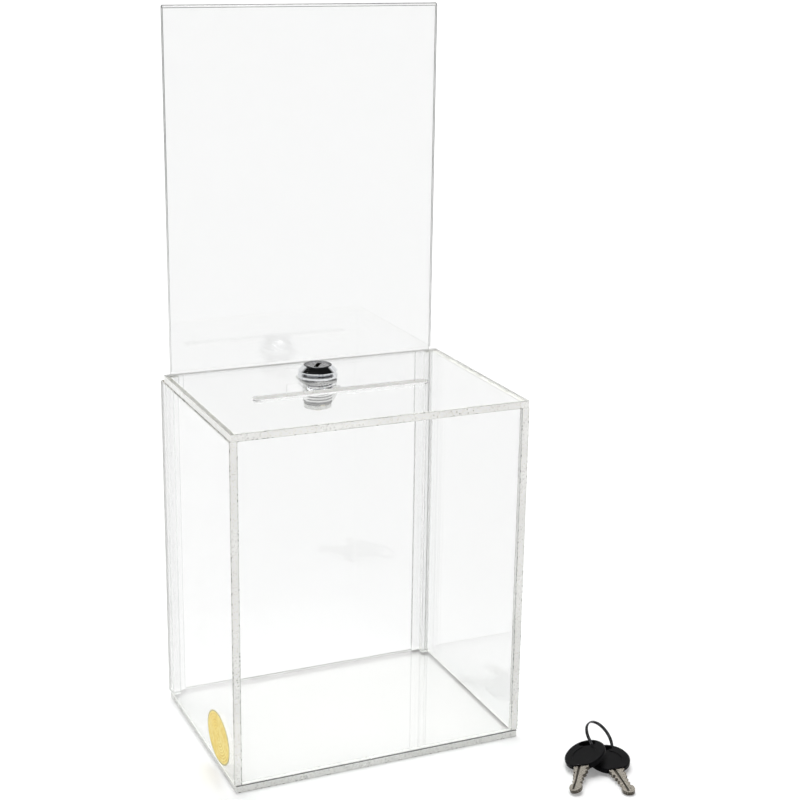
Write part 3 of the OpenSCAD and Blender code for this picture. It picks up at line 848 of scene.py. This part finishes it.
def stage_world():
    """A white room with a dark ceiling, a little greyer at the back.

    The camera itself sees paper white in place of the room.
    """
    world = bpy.data.worlds.new("white_room")
    bpy.context.scene.world = world
    world.use_nodes = True
    tree = world.node_tree
    tree.nodes.clear()
    out = tree.nodes.new("ShaderNodeOutputWorld")
    coords = add(tree, "TexCoord")
    split = add(tree, "SeparateXYZ", {"Vector": coords.outputs["Generated"]})
    ceiling = ramp(tree, split.outputs["Z"], *CEILING_FADE, 1.0, CEILING_LEVEL)
    back = ramp(tree, split.outputs["Y"], *BACK_FADE, 1.0, BACK_LEVEL)
    level = add(tree, "Math", {0: ceiling, 1: back}, operation="MULTIPLY")
    room = add(tree, "Background", {"Strength": level.outputs[0]}, Color=WHITE)
    paper = add(tree, "Background", Color=WHITE, Strength=1.0)
    path = add(tree, "LightPath")
    mixed = add(
        tree, "MixShader",
        {0: path.outputs["Is Camera Ray"], 1: room.outputs[0], 2: paper.outputs[0]},
    )
    tree.links.new(mixed.outputs[0], out.inputs["Surface"])


def stage_lamps():
    """One broad soft lamp from behind and above, as the shadows under the keys show."""
    data = bpy.data.lights.new("soft_sun", "SUN")
    data.energy = SUN_STRENGTH
    data.angle = math.radians(SUN_ANGLE)
    lamp = bpy.data.objects.new("soft_sun", data)
    bpy.context.collection.objects.link(lamp)
    lamp.rotation_euler = Vector(SUN_AIM).to_track_quat("-Z", "Y").to_euler()


def stage_camera():
    """The photograph's own view."""
    data = bpy.data.cameras.new("camera")
    data.sensor_width = SENSOR_WIDTH
    data.lens = CAMERA_LENS
    camera = bpy.data.objects.new("camera", data)
    bpy.context.collection.objects.link(camera)
    forward = Vector(CAMERA_FORWARD).normalized()
    right = Vector(CAMERA_RIGHT).normalized()
    up = right.cross(forward)
    turn = Matrix((right, up, -forward)).transposed()
    camera.matrix_world = Matrix.Translation(CAMERA_AT) @ turn.to_4x4()
    bpy.context.scene.camera = camera


clear_face = acrylic_face_material("clear_acrylic", FACE_TINT)
# Painted shade: the base's faces are tinted darker
base_face = acrylic_face_material("base_acrylic", BASE_SHADE_TINT)
# Painted glow on the cut edges, least on the base and most in the slot
clear_edge = acrylic_edge_material("acrylic_edge", EDGE_PAINTED_GLOW)
base_edge = acrylic_edge_material("base_edge", BASE_PAINTED_GLOW)
slot_edge = acrylic_edge_material("slot_edge", SLOT_PAINTED_GLOW)
# Corners whose dark tone is partly painted shade, and the darkest corners, which are painted shade
clear_arris = speckled_material("acrylic_arris", ARRIS_TONES, ARRIS_SCALE)
# Painted shade on the folded panel's edges, fading lower down
panel_edge = speckled_material("panel_edge", PANEL_TONES, ARRIS_SCALE, fade=PANEL_FADE)
olive_seam = speckled_material("olive_seam", OLIVE_TONES, OLIVE_SCALE)
shaded_arris = speckled_material("shaded_arris", SHADE_ARRIS_TONES, ARRIS_SCALE)
weld_seam = speckled_material("weld_seam", WELD_TONES, WELD_SCALE)
clear_sheets()

chrome = metal_material("bright_chrome", (0.80, 0.81, 0.83), roughness=0.07, scale=500, spread=0.03)
# Painted shade: near-black steel for the housing's shaded places and the stop washer
painted_shade_steel = metal_material("painted_shade_steel", (0.05, 0.05, 0.055), roughness=0.22, scale=700)
barrel_zinc = metal_material("barrel_zinc", (0.76, 0.76, 0.75), roughness=0.14, scale=700)
plug_nickel = metal_material("plug_nickel", (0.24, 0.235, 0.24), roughness=0.24, scale=800)
zinc = metal_material("zinc_plate", (0.62, 0.62, 0.60), roughness=0.24, scale=900)
brass = metal_material("bare_brass", (0.78, 0.60, 0.30), roughness=0.25, scale=700)
screw = metal_material("yellow_zinc", (0.66, 0.60, 0.44), roughness=0.28, scale=700)
nickel = metal_material("nickel", (0.43, 0.395, 0.34), roughness=0.30, scale=2600, relief=0.08)
# Painted shade in the blades' grooves
nickel_shade = metal_material("nickel_shade", (0.10, 0.09, 0.075), roughness=0.40, scale=2600)
spring_steel = metal_material("ring_steel", (0.09, 0.09, 0.095), roughness=0.16, scale=900)
black = plastic_material("black_plastic", (0.003, 0.003, 0.0035), roughness=0.36)

lock_head_piece()
clip_piece()
seal_piece()
for name in ("key_1", "key_2"):
    blade_piece(name)
    head_piece(name)
dress("lock_plug", plug_nickel)
# Painted shade: the stop washer is near black to draw the shadow under the lock's body
dress("stop_washer", painted_shade_steel)
for name in ("lock_cam", "cam_washer", "wafer_springs"):
    dress(name, zinc)
dress("lock_wafers", brass)
dress("cam_screw", screw)
dress("key_ring", spring_steel)

stage_floor()
stage_world()
stage_lamps()
stage_camera()

bpy.context.scene.view_settings.view_transform = "Standard"
